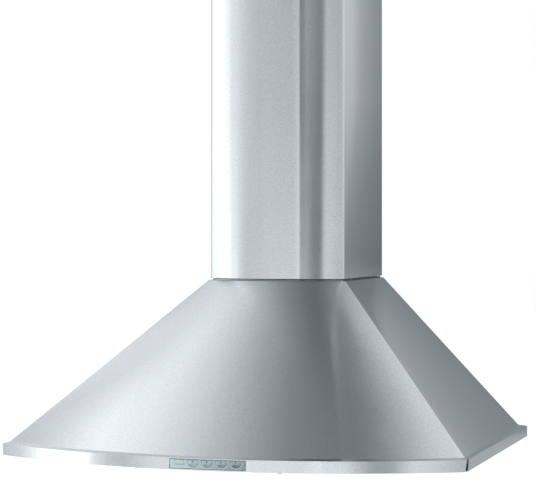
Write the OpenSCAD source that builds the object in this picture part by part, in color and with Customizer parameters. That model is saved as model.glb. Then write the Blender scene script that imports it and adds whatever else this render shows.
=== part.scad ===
// Wall mount range hood with a bowed front, a sloped canopy and a two-piece duct cover.
// The wall is the plane y = 0, the lip's lower edge is z = 0, and the front looks along -y.

/* [Canopy] */
// Overall width across the lip
hood_w = 762; // [750:2:780]
// Depth of the lip's straight sides, from the wall to the front corners
side_d = 516; // [506:2:526]
// How far the bowed front stands forward of its corners
front_bow = 99; // [94:1:104]
// Height of the lip band
lip_h = 18.5; // [18:0.5:20]
// Height of the canopy's neck, where the duct cover stands
neck_z = 279.5; // [275:0.5:285]
// Width of the ledge beside the canopy at the front corners
ledge_front = 6; // [5:1:8]
// Width of the ledge beside the canopy at the wall
ledge_rear = 16; // [14:1:18]
// Depth of the ledge along the bowed front
ledge_deep = 13; // [12:1:14]
// Rise of the ledge from the lip to the canopy
ledge_rise = 1.5; // [1:0.5:2]
// Thickness of the steel sheet
sheet = 1; // [0.8:0.1:1.2]

/* [Duct covers] */
// Width of the lower duct cover
chimney_w = 236; // [232:1:240]
// Depth of the duct cover's flat sides
chimney_d = 254; // [250:1:258]
// How far the duct cover's front bows out
chimney_bow = 36; // [32:1:40]
// Height of each duct cover
cover_h = 500; // [480:10:520]
// How much of the upper cover shows when it is pushed right down
cover_show = 90; // [80:5:100]
// Side gap between the two duct covers
cover_gap = 0.6; // [0.4:0.1:0.8]

/* [Blower] */
// Radius of the impeller over its blades
wheel_r = 80; // [78:1:82]
// Radius of the impeller inside its blades
wheel_bore_r = 65; // [64:1:66]
// Width of the impeller
wheel_w = 146; // [140:2:148]
// Number of blades round the impeller
blade_count = 40; // [32:1:44]
// Radius of the motor shaft
shaft_r = 4; // [3.5:0.5:4.5]
// Outside radius of the duct collar
collar_r = 75; // [74:0.5:75.5]

/* [Grease filters] */
// Width of one filter
filter_w = 340; // [336:1:342]
// Depth of one filter without its hinge
filter_d = 379; // [370:1:382]
// Thickness of a filter
filter_t = 10; // [9:0.5:10]
// Radius of the filter hinge rods
rod_r = 2; // [1.5:0.5:2]

/* [Controls and lamps] */
// Distance between neighbouring buttons
button_pitch = 22.6; // [22:0.1:23]
// Width of a button
button_w = 17; // [16:0.5:17.5]
// How far a button travels
button_travel = 2.5; // [2:0.5:3]
// Place of the control panel right of the centreline
panel_x = 4; // [-20:1:20]
// Radius of a lamp's opening
lamp_r = 31; // [29:1:32]

/* [Hidden] */

$fn = 64;
wide_fn = 720;
eps = 0.01;

// Half widths, bow radii and bow centres of the three plan outlines, lip, canopy foot and neck
function bow_r(half, sag) = (half * half + sag * sag) / (2 * sag);
lip_half = hood_w / 2;
lip_r = bow_r(lip_half, front_bow);
lip_yc = lip_r - side_d - front_bow;
foot_half = lip_half - ledge_front;
foot_rear_half = lip_half - ledge_rear;
foot_r = bow_r(foot_half, front_bow);
foot_yc = foot_r - side_d + ledge_deep - front_bow;
foot_z = lip_h + ledge_rise;
neck_half = chimney_w / 2;
neck_r = bow_r(neck_half, chimney_bow);
neck_yc = neck_r - chimney_d - chimney_bow;

// Canopy details
bow_steps = 72;
side_steps = 6;
slope_inset = 1.5 * sheet;
groove_h = 2.5;
groove_deep = 3;
neck_flange = 18;
lip_flange = 14;
fascia_gap = 0.3;
fascia_lean = 1.5;
band_end_top = 16;
band_end_low = 6;

// Filter openings and hinges
opening_gap = 2;
opening_x0 = 8;
opening_w = filter_w + 2 * opening_gap;
opening_rear_y = -60;
hinge_y = -66;
hinge_z = 6;
filter_rear_y = hinge_y - 4;
filter_z = 1.5;
opening_front_y = filter_rear_y - filter_d - opening_gap;
filter_x = opening_x0 + opening_w / 2;
rim_h = 12;
panel_top = 2 * sheet;
latch_w = 44;
latch_deep = 12;
latch_travel = 6;

// Scroll casing, drawn from four arcs whose centres step round a small square
wheel_y = -195;
wheel_z = 140;
scroll_step = 9;
scroll_r = 94;
scroll_w = 160;
cutoff_r = 86;
throat_in = 13;
throat_out = scroll_step / 2 + scroll_r + 2 * scroll_step;
throat_top = 240;
inlet_r = 62;
plate_t = 1.2;
motor_r = 42;
motor_x0 = 20;

// Outlet, collar and damper
collar_y = wheel_y + (throat_in + throat_out) / 2;
adaptor_top = 282;
collar_top = 340;
damper_z = 300;
damper_rod_r = 2.5;
flap_t = 1;

// Duct covers
upper_inset = sheet + cover_gap;
lower_top = neck_z + cover_h;
upper_top = lower_top + cover_show;
bracket_z = upper_top - 32;
vent_w = 3.5;

// Control panel
window_w = 122;
window_z0 = 2;
window_z1 = 17;
bezel_recess = 0.6;
bezel_t = 4;
well_rim = 1.1;
well_deep = 2;
button_z = 13.6;
button_top_z = 15.4;
button_inset = 0.5;
stem_z = 10;
lens_z = 8.5;
slack = 0.25;
switch_gap = 8;
switch_d = 20;

// Lamps
lamp_x = 190;
lamp_y = -505;
lamp_h = 30;

// Fixings
wall_hole_x = 130;
wall_hole_z = [60, 240];
wall_hole_r = 4;
ceiling_hole_x = 60;
ceiling_hole_r = 3.5;

// Colours, as the photograph shows them
steel = "#b8c0c6";
steel_side = "#8b949b";
galvanised = "#a9aeb1";
white_plastic = "#e6e8e8";
panel_blue = "#a9bac2";
dark_plastic = "#2b2f33";
pilot_green = "#b9d6cd";
glass = "#e9eef0";
alloy = "#c7ccd0";
copper = "#b07a4a";
rubber_black = "#26282a";

// A plan outline is [front half width, rear half width, bow radius, bow centre]
lip_outline = [lip_half, lip_half, lip_r, lip_yc];
foot_outline = [foot_half, foot_rear_half, foot_r, foot_yc];
neck_outline = [neck_half, neck_half, neck_r, neck_yc];
function inset(o, d) = [o[0] - d, o[1] - d, o[2] - d, o[3]];
function corner_y(o) = o[3] - sqrt(o[2] * o[2] - o[0] * o[0]);

// Points of an outline, from the wall on the right, round the front, to the wall on the left
function right_side(o, z) = [
  for (i = [0 : side_steps - 1])
    let (t = i / side_steps)
    [o[1] + (o[0] - o[1]) * t, corner_y(o) * t, z]
];
function bowed_front(o, z) = [
  for (i = [0 : bow_steps])
    let (a = asin(o[0] / o[2]) * (1 - 2 * i / bow_steps))
    [o[2] * sin(a), o[3] - o[2] * cos(a), z]
];
function left_side(o, z) = [
  for (i = [side_steps - 1 : -1 : 0])
    let (t = i / side_steps)
    [-o[1] - (o[0] - o[1]) * t, corner_y(o) * t, z]
];
function ring(o, z) = concat(right_side(o, z), bowed_front(o, z), left_side(o, z));
function between(p, q, t) = [for (i = [0 : len(p) - 1]) p[i] * (1 - t) + q[i] * t];

// Height of a point of the slope as a share of its rise
function slope_share(z) = (z - foot_z) / (neck_z - foot_z);
function slope_ring(d, z) =
  let (
    low = ring(inset(foot_outline, d), z),
    high = ring(inset(neck_outline, d), z)
  )
  between(low, high, slope_share(z));

// One skin wrapped round the outlines, closed on itself in section and flat at both wall ends
module swept_shell(rings, end_quads) {
  m = len(rings[0]);
  k = len(rings);
  walls = [
    for (j = [0 : k - 1], i = [0 : m - 2])
      let (n = (j + 1) % k)
      each [
        [j * m + i, n * m + i + 1, n * m + i],
        [j * m + i, j * m + i + 1, n * m + i + 1]
      ]
  ];
  first_end = [for (q = end_quads) [for (c = q) c * m]];
  last_end = [for (q = end_quads) [for (c = [3 : -1 : 0]) q[c] * m + m - 1]];
  polyhedron([for (r = rings) each r], concat(walls, first_end, last_end));
}

// Flat area inside an outline with straight sides
module plan_area(o, rear_y = 0) {
  front_y = o[3] - o[2] - 1;
  intersection() {
    translate([0, o[3]])
      circle(r = o[2], $fn = wide_fn);
    translate([-o[0], front_y])
      square([2 * o[0], rear_y - front_y]);
  }
}

// A wall that follows the lip's bow
module bow_band(r_out, r_in, z0, z1) {
  translate([0, lip_yc, z0])
    difference() {
      cylinder(r = r_out, h = z1 - z0, $fn = wide_fn);
      translate([0, 0, -1])
        cylinder(r = r_in, h = z1 - z0 + 2, $fn = wide_fn);
    }
}

// Everything ahead of the lip's corners, narrower at the bottom than at the top
module front_zone(half_top, half_low) {
  front_y = side_d - 90;
  translate([0, -front_y, 0])
    rotate([90, 0, 0])
      linear_extrude(250)
        polygon([
          [-half_low, 0], [half_low, 0], [half_top, lip_h], [-half_top, lip_h]
        ]);
}

module axis_x(x0, y, z) {
  translate([x0, y, z])
    rotate([0, 90, 0])
      children();
}

module pan_head(r, h) {
  difference() {
    cylinder(r = r, h = h, $fn = 32);
    translate([0, 0, h * 0.5])
      for (a = [0, 90])
        rotate(a)
          translate([-r * 0.6, -r * 0.12, 0])
            cube([r * 1.2, r * 0.24, h]);
  }
}

// Canopy: sloped skin with its ledge, neck groove and neck flange, and the two side bands
module canopy_shell() {
  color(steel)
    union() {
      swept_shell([
        ring(inset(lip_outline, sheet), lip_h - sheet),
        ring(inset(lip_outline, sheet), lip_h),
        ring(foot_outline, foot_z),
        slope_ring(0, neck_z - groove_h),
        ring(inset(neck_outline, groove_deep), neck_z - groove_h),
        ring(inset(neck_outline, groove_deep), neck_z),
        ring(inset(neck_outline, neck_flange), neck_z),
        ring(inset(neck_outline, neck_flange), neck_z - sheet),
        ring(inset(neck_outline, groove_deep + sheet), neck_z - sheet),
        ring(inset(neck_outline, groove_deep + sheet), neck_z - groove_h - sheet),
        slope_ring(slope_inset, neck_z - groove_h - sheet),
        ring(inset(foot_outline, slope_inset), foot_z - sheet)
      ], [[0, 1, 2, 11], [2, 3, 10, 11], [3, 4, 9, 10], [4, 5, 8, 9], [5, 6, 7, 8]]);
      for (s = [-1, 1])
        scale([s, 1, 1])
          side_band();
    }
}

// Its front end is cut at a slant, and leaves a gap beside the end of the fascia
module side_band() {
  joint_y = -side_d + band_end_top + sheet;
  flange_y = -side_d + band_end_low + 3 * sheet;
  translate([lip_half, 0, 0])
    rotate([0, -90, 0])
      linear_extrude(sheet)
        polygon([
          [0, 0], [lip_h, 0], [lip_h, -side_d + band_end_top], [0, -side_d + band_end_low]
        ]);
  translate([lip_half - 1.5 * sheet, joint_y, lip_h - 0.9 * sheet])
    cube([sheet, -joint_y - sheet, 0.8 * sheet]);
  translate([lip_half - lip_flange, flange_y, 0])
    cube([lip_flange - sheet / 2, -flange_y - sheet, sheet]);
}

// Bowed lip band with its return flanges and the window for the controls
module front_fascia() {
  top_half = lip_half - fascia_gap;
  low_half = top_half - fascia_lean;
  window_x0 = panel_x - window_w / 2;
  color(steel)
    union() {
      difference() {
        intersection() {
          bow_band(lip_r, lip_r - sheet, 0, lip_h);
          front_zone(top_half, low_half);
        }
        translate([window_x0, -side_d - front_bow - 10, window_z0])
          cube([window_w, 40, window_z1 - window_z0]);
      }
      fascia_flange(0);
      difference() {
        fascia_flange(lip_h - 2 * sheet);
        translate([window_x0 - 1, -side_d - front_bow - 10, lip_h - 3 * sheet])
          cube([window_w + 2, 40, 3 * sheet]);
      }
    }
}

// Return flange behind the lip band, short of the canopy's side bands
module fascia_flange(z0) {
  half = lip_half - 2.2 * lip_flange;
  intersection() {
    bow_band(lip_r - 0.9 * sheet, lip_r - lip_flange, z0, z0 + sheet);
    front_zone(half, half);
  }
}

// Back plate that hangs on the wall, with its fixing holes and cable entry
module rear_panel() {
  slope_half = foot_rear_half - slope_inset;
  neck_inner = neck_half - groove_deep - sheet;
  top_half = neck_half + slope_share(neck_z - groove_h - sheet) - slope_inset;
  color(galvanised)
    difference() {
      union() {
        rotate([90, 0, 0])
          linear_extrude(sheet)
            mirrored_outline([
              [0, 0], [lip_half - sheet, 0], [lip_half - sheet, lip_h - sheet],
              [slope_half, foot_z - sheet - 0.1], [top_half, neck_z - groove_h - sheet - 0.1],
              [neck_inner, neck_z - groove_h - sheet - 0.1], [neck_inner, neck_z - sheet],
              [0, neck_z - sheet]
            ]);
        translate([-lip_half + lip_flange, -lip_flange, 0])
          cube([2 * (lip_half - lip_flange), lip_flange - sheet / 2, sheet]);
      }
      for (x = [-wall_hole_x, wall_hole_x], z = wall_hole_z)
        translate([x, 1, z])
          rotate([90, 0, 0])
            cylinder(r = wall_hole_r, h = sheet + 2);
      translate([gland_x, 1, gland_z])
        rotate([90, 0, 0])
          cylinder(r = gland_r + 0.1, h = sheet + 2);
    }
}

module mirrored_outline(points) {
  for (s = [-1, 1])
    scale([s, 1, 1])
      polygon(points);
}

// Bottom plate with the two filter openings, their stiffening rims and the lamp holes
module underside_panel() {
  color(steel)
    union() {
      translate([0, 0, sheet])
        linear_extrude(sheet)
          difference() {
            plan_area(inset(lip_outline, sheet + 0.3), -sheet - 0.3);
            for (s = [-1, 1]) {
              opening_area(s, 0);
              translate([s * lamp_x, lamp_y])
                circle(r = lamp_r);
            }
          }
      for (s = [-1, 1])
        translate([0, 0, panel_top - eps])
          difference() {
            linear_extrude(rim_h)
              difference() {
                opening_area(s, sheet);
                opening_area(s, 0);
              }
            axis_x(s * filter_x - opening_w, hinge_y, hinge_z - panel_top)
              cylinder(r = rod_r, h = 2 * opening_w);
          }
    }
}

module opening_area(s, grow) {
  deep = opening_rear_y - opening_front_y;
  translate([s * filter_x - opening_w / 2 - grow, opening_front_y - grow])
    square([opening_w + 2 * grow, deep + 2 * grow]);
}

module filter_hinge_rods() {
  color(alloy)
    for (s = [-1, 1])
      axis_x(s * filter_x - opening_w / 2 - sheet, hinge_y, hinge_z)
        cylinder(r = rod_r, h = opening_w + 2 * sheet);
}

// Area inside the scroll casing, grown by the wall when the outside is wanted
module scroll_area(grow) {
  a = scroll_step / 2;
  quarter_disc([-a, -a], scroll_r + grow, 90);
  quarter_disc([a, -a], scroll_r + scroll_step + grow, 180);
  quarter_disc([a, a], scroll_r + 2 * scroll_step + grow, 270);
  circle(r = cutoff_r + grow, $fn = 128);
  translate([-a, -a])
    square([2 * a, 2 * a]);
  translate([throat_in - grow, -eps])
    square([throat_out - throat_in + 2 * grow, throat_top - wheel_z + eps]);
}

module quarter_disc(c, r, start) {
  translate(c)
    rotate(start)
      intersection() {
        circle(r = r, $fn = 128);
        square(r + 1);
      }
}

// Turns a drawing in the wheel's own plane to face along x
module wheel_plane(x0) {
  translate([x0, wheel_y, wheel_z])
    rotate([90, 0, 90])
      children();
}

module blower_scroll() {
  half = scroll_w / 2;
  color(galvanised)
    difference() {
      union() {
        wheel_plane(-half)
          linear_extrude(scroll_w)
            scroll_area(plate_t);
        translate([
          -half - 8, wheel_y + throat_in - 8 - plate_t, throat_top - plate_t
        ])
          cube([scroll_w + 16, throat_out - throat_in + 16 + 2 * plate_t, plate_t]);
      }
      wheel_plane(-half + plate_t)
        linear_extrude(scroll_w - 2 * plate_t)
          scroll_area(0);
      wheel_plane(-half - 5)
        cylinder(r = inlet_r + 6, h = scroll_w + 10, $fn = 96);
      translate([-half + plate_t, wheel_y + throat_in, throat_top - 20])
        cube([scroll_w - 2 * plate_t, throat_out - throat_in, 40]);
    }
}

// Bellmouth that guides air into the wheel
module inlet_ring(s) {
  mouth = 6;
  scale([s, 1, 1])
    axis_x(scroll_w / 2, wheel_y, wheel_z)
      rotate_extrude($fn = 96)
        difference() {
          union() {
            translate([inlet_r, -mouth])
              square([mouth, mouth + plate_t]);
            translate([inlet_r + mouth, 0])
              square([16, plate_t]);
          }
          translate([inlet_r + mouth + plate_t, -mouth - plate_t])
            circle(r = mouth);
          translate([inlet_r - plate_t, plate_t * 2])
            circle(r = 3);
        }
}

module inlet_ring_left() {
  color(galvanised)
    inlet_ring(-1);
}

module inlet_ring_right() {
  color(galvanised)
    difference() {
      inlet_ring(1);
      bracket_holes(2);
    }
}

bracket_x = scroll_w / 2 + plate_t;
arm_r = inlet_r + 14;

module bracket_holes(r) {
  for (a = [30, 150, 270])
    wheel_plane(scroll_w / 2 - 8)
      rotate(a)
        translate([arm_r, 0, 0])
          cylinder(r = r, h = 20);
}

// Three-armed spider that carries the motor across the right inlet
module motor_bracket() {
  color(galvanised)
    wheel_plane(bracket_x + 3)
      linear_extrude(2)
        difference() {
          union() {
            circle(r = 24);
            for (a = [30, 150, 270])
              rotate(a) {
                translate([0, -6])
                  square([arm_r, 12]);
                translate([arm_r, 0])
                  circle(r = 8);
              }
          }
          circle(r = shaft_r + 3);
          for (a = [30, 150, 270])
            rotate(a)
              translate([arm_r, 0])
                circle(r = 2);
        }
}

module motor_grommets() {
  color(rubber_black)
    for (a = [30, 150, 270])
      wheel_plane(bracket_x)
        rotate(a)
          translate([arm_r, 0, 0])
            difference() {
              cylinder(r = 6, h = 3);
              translate([0, 0, -1])
                cylinder(r = 2, h = 5);
            }
}

// Motor can with its cooling fins, bored for the shaft
module motor_body() {
  length = bracket_x + 3 - motor_x0;
  color("#5d6368")
    wheel_plane(motor_x0)
      difference() {
        union() {
          cylinder(r = motor_r - 4, h = length);
          translate([0, 0, 12])
            cylinder(r = motor_r, h = length - 24);
          cylinder(r = 12, h = 4);
        }
        translate([0, 0, -1])
          cylinder(r = shaft_r + 0.05, h = length + 2);
        for (a = [0 : 30 : 330])
          rotate(a)
            translate([motor_r - 3, -2, 16])
              cube([6, 4, length - 32]);
      }
}

module motor_shaft() {
  color(alloy)
    axis_x(-16, wheel_y, wheel_z)
      cylinder(r = shaft_r, h = bracket_x + 3 + 14);
}

module impeller_nut() {
  color(alloy)
    wheel_plane(-14)
      difference() {
        cylinder(r = 7, h = 5, $fn = 6);
        translate([0, 0, -1])
          cylinder(r = shaft_r, h = 7);
      }
}

// Double-inlet wheel: a middle disc, two end rings and forward-curved blades
module impeller() {
  half = wheel_w / 2;
  color(alloy)
    difference() {
      union() {
        wheel_plane(-half)
          linear_extrude(wheel_w)
            for (i = [0 : blade_count - 1])
              rotate(i * 360 / blade_count)
                blade();
        wheel_plane(-1)
          cylinder(r = wheel_r - 0.5, h = 2, $fn = 96);
        wheel_plane(-9)
          cylinder(r = 14, h = 18);
        for (x = [-half, half - 3])
          wheel_plane(x)
            difference() {
              cylinder(r = wheel_r + 1, h = 3, $fn = 96);
              translate([0, 0, -1])
                cylinder(r = wheel_r - 5, h = 5, $fn = 96);
            }
      }
      wheel_plane(-20)
        cylinder(r = shaft_r, h = 40);
    }
}

// One blade in section, hooked forward towards its tip
module blade() {
  deep = wheel_r - wheel_bore_r;
  polygon([
    [wheel_bore_r, -0.4], [wheel_bore_r + deep * 0.4, 0.2], [wheel_bore_r + deep * 0.75, 2.2],
    [wheel_r - 0.2, 5.4], [wheel_r - 0.9, 6.0], [wheel_bore_r + deep * 0.7, 3.0],
    [wheel_bore_r + deep * 0.35, 1.1], [wheel_bore_r, 0.5]
  ]);
}

// Arms that hold the scroll casing to the back plate
module blower_brackets() {
  arm_y = wheel_y + throat_out + plate_t;
  color(galvanised)
    for (x = [-66, 46], z = [156, 215])
      translate([x, arm_y, z]) {
        cube([20, -arm_y - sheet, 1.5]);
        translate([0, 0, -12])
          cube([20, 1.5, 12]);
        translate([0, -arm_y - sheet - 1.5, -12])
          cube([20, 1.5, 12]);
      }
}

cap_x = 178;
cap_z = 118;
cap_r = 16;
cap_len = 62;

module capacitor() {
  color(white_plastic)
    axis_x(cap_x, -sheet - cap_r - 1, cap_z)
      union() {
        cylinder(r = cap_r, h = cap_len);
        translate([0, 0, -2])
          cylinder(r = cap_r - 2, h = cap_len + 2);
        for (y = [-5, 5])
          translate([-0.4, y - 3, cap_len])
            cube([0.8, 6, 8]);
      }
}

// Strap round the capacitor, screwed to the back plate
module capacitor_strap() {
  y = -sheet - cap_r - 1;
  color(galvanised)
    difference() {
      union() {
        axis_x(cap_x + 24, y, cap_z)
          cylinder(r = cap_r + 1, h = 14);
        translate([cap_x + 24, -sheet - 1, cap_z - cap_r - 12])
          cube([14, 1, 2 * cap_r + 24]);
      }
      axis_x(cap_x + 23, y, cap_z)
        cylinder(r = cap_r, h = 16);
    }
}

box_x0 = -262;
box_w = 112;
box_d = 40;
box_h = 64;
box_z = 38;
wall_t = 1.5;
gland_x = box_x0 + 18;
gland_z = box_z + 32;
gland_r = 9;

module junction_box() {
  color(galvanised)
    difference() {
      translate([box_x0, -sheet - box_d, box_z])
        cube([box_w, box_d, box_h]);
      translate([box_x0 + wall_t, -sheet - box_d - 1, box_z + wall_t])
        cube([box_w - 2 * wall_t, box_d + 1 - wall_t, box_h - 2 * wall_t]);
      translate([gland_x, 0, gland_z])
        rotate([90, 0, 0])
          cylinder(r = gland_r + 0.1, h = 10);
    }
}

module junction_box_cover() {
  color(galvanised)
    translate([box_x0, -sheet - box_d - wall_t, box_z])
      union() {
        cube([box_w, wall_t, box_h]);
        for (x = [8, box_w - 8])
          translate([x, 0, box_h / 2])
            rotate([90, 0, 0])
              pan_head(3.5, 2);
      }
}

// Screw terminals for the mains wires
module terminal_block() {
  ways = 3;
  pitch = 12;
  color(white_plastic)
    translate([box_x0 + 36, -sheet - wall_t - 16, box_z + 18])
      difference() {
        cube([ways * pitch, 16, 22]);
        for (i = [0 : ways - 1])
          translate([(i + 0.5) * pitch, -1, 11]) {
            rotate([-90, 0, 0])
              cylinder(r = 3, h = 8);
            translate([0, 9, -13])
              cylinder(r = 2.2, h = 30);
          }
      }
}

// Bush that leads the mains cable from the wall through the back plate into the box
module cable_gland() {
  inside = sheet + wall_t;
  color(dark_plastic)
    translate([gland_x, 0, gland_z])
      rotate([90, 0, 0])
        difference() {
          union() {
            translate([0, 0, 0.2])
              cylinder(r = gland_r, h = inside + 1);
            translate([0, 0, inside])
              cylinder(r = gland_r + 4, h = 5, $fn = 6);
            translate([0, 0, inside + 5])
              cylinder(r1 = gland_r + 1, r2 = gland_r - 2, h = 10);
          }
          translate([0, 0, -1])
            cylinder(r = 4.5, h = 30);
        }
}

module adaptor_solid(grow, low, high) {
  hull() {
    translate([
      -scroll_w / 2 + plate_t - grow, wheel_y + throat_in - grow, low
    ])
      cube([
        scroll_w - 2 * plate_t + 2 * grow, throat_out - throat_in + 2 * grow, 1
      ]);
    translate([0, collar_y, high])
      cylinder(r = collar_r - sheet + grow, h = 1);
  }
}

// Sheet transition from the casing's square throat to the round collar
module outlet_adaptor() {
  color(galvanised)
    difference() {
      union() {
        adaptor_solid(sheet, throat_top, adaptor_top - 1);
        translate([
          -scroll_w / 2 - 8, wheel_y + throat_in - 8 - plate_t, throat_top
        ])
          cube([scroll_w + 16, throat_out - throat_in + 16 + 2 * plate_t, plate_t]);
      }
      adaptor_solid(0, throat_top - 1, adaptor_top);
    }
}

// Round duct collar with its foot flange and the ledge that the damper closes on
module outlet_collar() {
  inner = collar_r - sheet;
  color(galvanised)
    translate([0, collar_y, 0])
      difference() {
        union() {
          difference() {
            union() {
              translate([0, 0, adaptor_top])
                cylinder(r = collar_r, h = collar_top - adaptor_top, $fn = 128);
              translate([0, 0, adaptor_top])
                cylinder(r = collar_r + 9, h = 1.5, $fn = 128);
            }
            translate([0, 0, adaptor_top - 1])
              cylinder(r = inner, h = collar_top - adaptor_top + 2, $fn = 128);
          }
          translate([0, 0, damper_z - flap_t / 2 - 1.6])
            difference() {
              cylinder(r = inner + 0.5, h = 1.5, $fn = 128);
              translate([0, 0, -1])
                cylinder(r = inner - 4, h = 4, $fn = 128);
            }
        }
        translate([0, 0, damper_z])
          rotate([90, 0, 0])
            cylinder(r = damper_rod_r, h = 4 * collar_r, center = true);
      }
}

module damper_rod() {
  color(alloy)
    translate([0, collar_y, damper_z])
      rotate([90, 0, 0])
        cylinder(r = damper_rod_r, h = 2 * collar_r - 0.4, center = true);
}

// One half of the backdraught damper, with two knuckles on the rod
module damper_flap(s, knuckles) {
  knuckle_r = 4.5;
  knuckle_l = 14;
  plate_r = collar_r - sheet - 1.5;
  start_x = 6;
  translate([0, collar_y, damper_z])
    difference() {
      union() {
        translate([0, 0, -flap_t / 2])
          linear_extrude(flap_t)
            difference() {
              intersection() {
                circle(r = plate_r, $fn = 128);
                translate([s > 0 ? start_x : -2 * plate_r - start_x, -plate_r])
                  square([2 * plate_r, 2 * plate_r]);
              }
            }
        for (y = knuckles) {
          translate([0, y, 0])
            rotate([90, 0, 0])
              cylinder(r = knuckle_r, h = knuckle_l, center = true);
          translate([s > 0 ? 0 : -start_x - 1, y - knuckle_l / 2, -flap_t / 2])
            cube([start_x + 1, knuckle_l, flap_t]);
        }
      }
      rotate([90, 0, 0])
        cylinder(r = damper_rod_r + 0.05, h = 3 * collar_r, center = true);
    }
}

module damper_flap_left() {
  color(alloy)
    damper_flap(-1, [-44, 28]);
}

module damper_flap_right() {
  color(alloy)
    damper_flap(1, [-28, 44]);
}

// Section of a duct cover: bowed front, flat sides and return flanges at the wall
module cover_section(d, rear_y, flange_w) {
  difference() {
    plan_area(inset(neck_outline, d), rear_y);
    plan_area(inset(neck_outline, d + sheet), rear_y + 1);
  }
  for (s = [-1, 1])
    translate([s * (neck_half - d - flange_w / 2 - sheet / 2), rear_y - sheet / 2])
      square([flange_w, sheet], center = true);
}

module lower_duct_cover() {
  foot_flange = 10;
  color(steel)
    difference() {
      union() {
        translate([0, 0, neck_z])
          linear_extrude(cover_h)
            cover_section(0, 0, 12);
        translate([0, 0, neck_z])
          linear_extrude(sheet)
            difference() {
              plan_area(inset(neck_outline, sheet / 2), -sheet);
              plan_area(inset(neck_outline, foot_flange), 1);
            }
      }
      for (s = [-1, 1], y = [-60, -190])
        translate([s * (neck_half - 6), y, neck_z - 1])
          cylinder(r = 2, h = sheet + 2);
    }
}

module upper_duct_cover() {
  flange_top = bracket_z - 6;
  color(steel)
    difference() {
      translate([0, 0, upper_top - cover_h])
        difference() {
          linear_extrude(cover_h)
            cover_section(upper_inset, -upper_inset, 12);
          translate([-neck_half, -upper_inset - sheet - 0.5, flange_top - upper_top + cover_h])
            cube([chimney_w, 10, cover_h]);
        }
      for (i = [0 : 5])
        translate([-neck_half, -200 + i * 26, upper_top - 74])
          cube([chimney_w, vent_w, 44]);
    }
}

// Wall bracket for the top of the upper cover
module ceiling_bracket() {
  half = neck_half - upper_inset - sheet;
  color(galvanised)
    difference() {
      union() {
        translate([-half, -1.5, bracket_z])
          cube([2 * half, 1.5, 26]);
        for (s = [-1, 1])
          translate([s > 0 ? half - 1.5 : -half, -42, bracket_z])
            cube([1.5, 42, 26]);
      }
      for (x = [-ceiling_hole_x, ceiling_hole_x])
        translate([x, 1, bracket_z + 13])
          rotate([90, 0, 0])
            cylinder(r = ceiling_hole_r, h = 5);
      axis_x(-chimney_w, -26, bracket_z + 13)
        cylinder(r = 1.9, h = 2 * chimney_w);
    }
}

// Screws through the upper cover's sides into the wall bracket
module ceiling_screws() {
  face = neck_half - upper_inset;
  color(alloy)
    for (s = [-1, 1])
      scale([s, 1, 1]) {
        translate([face, -26, bracket_z + 13])
          rotate([0, 90, 0])
            pan_head(3.6, 0.5);
      }
}

// Bracket on the canopy's neck that the lower cover's sides are screwed to
module cover_bracket() {
  half = neck_half - sheet;
  color(galvanised)
    union() {
      translate([-half, -sheet - 1.5, neck_z + sheet])
        cube([2 * half, 1.5, 36]);
      for (s = [-1, 1])
        translate([s > 0 ? half - 1.5 : -half, -sheet - 32, neck_z + sheet])
          cube([1.5, 32, 36]);
    }
}

module cover_screws() {
  color(alloy)
    for (s = [-1, 1])
      scale([s, 1, 1]) {
        for (y = [-60, -190])
          translate([neck_half - 6, y, neck_z - 4])
            cylinder(r = 2, h = 4 + sheet);
        for (y = [-60, -190])
          translate([neck_half - 6, y, neck_z + sheet])
            pan_head(3.6, 2);
      }
}

// Where the bowed lip lies at a distance x from the centreline
function bow_y(x, inward) = lip_yc - sqrt((lip_r - inward) * (lip_r - inward) - x * x);
function station_x(i) = panel_x + (i - 2) * button_pitch;

// Half-round outline, flat on top, that the buttons and their wells share
module button_outline(grow) {
  half = button_w / 2 + grow;
  rise = button_top_z - button_z + grow;
  intersection() {
    union() {
      circle(r = half, $fn = 48);
      translate([-half, 0])
        square([2 * half, rise]);
    }
    translate([-half, -half])
      square([2 * half, half + rise]);
  }
}

module along_y(x, y0, z) {
  translate([x, y0, z])
    rotate([-90, 0, 0])
      mirror([0, 1, 0])
        children();
}

// Moulded control panel that follows the bow, with a well round each button
module control_bezel() {
  face_r = lip_r - bezel_recess;
  color(panel_blue)
    difference() {
      intersection() {
        bow_band(face_r, face_r - bezel_t, window_z0 + 0.1, window_z1 - 0.1);
        translate([panel_x - window_w / 2 + 0.1, -side_d - front_bow - 5, 0])
          cube([window_w - 0.2, 40, lip_h]);
      }
      for (i = [1 : 4]) {
        along_y(station_x(i), bow_y(station_x(i), 0) - 3, button_z)
          linear_extrude(3 + bezel_recess + well_deep)
            button_outline(well_rim);
        along_y(station_x(i), bow_y(station_x(i), 0) - 3, button_z)
          linear_extrude(20)
            button_outline(slack);
      }
      translate([station_x(0) - 8, bow_y(station_x(0), 0) - 3, lens_z])
        cube([16, 20, 7]);
    }
}

module pilot_lens() {
  x = station_x(0);
  y0 = bow_y(x, bezel_recess) + 0.2;
  color(pilot_green)
    translate([x - 7.9, y0, lens_z + 0.1])
      union() {
        cube([15.8, 2.4, 6.8]);
        translate([2, 2, 1])
          cube([11.8, switch_y - y0 - 2, 4.8]);
      }
}

switch_y = bow_y(panel_x, 0) + bezel_recess + bezel_t + switch_gap;

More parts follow.
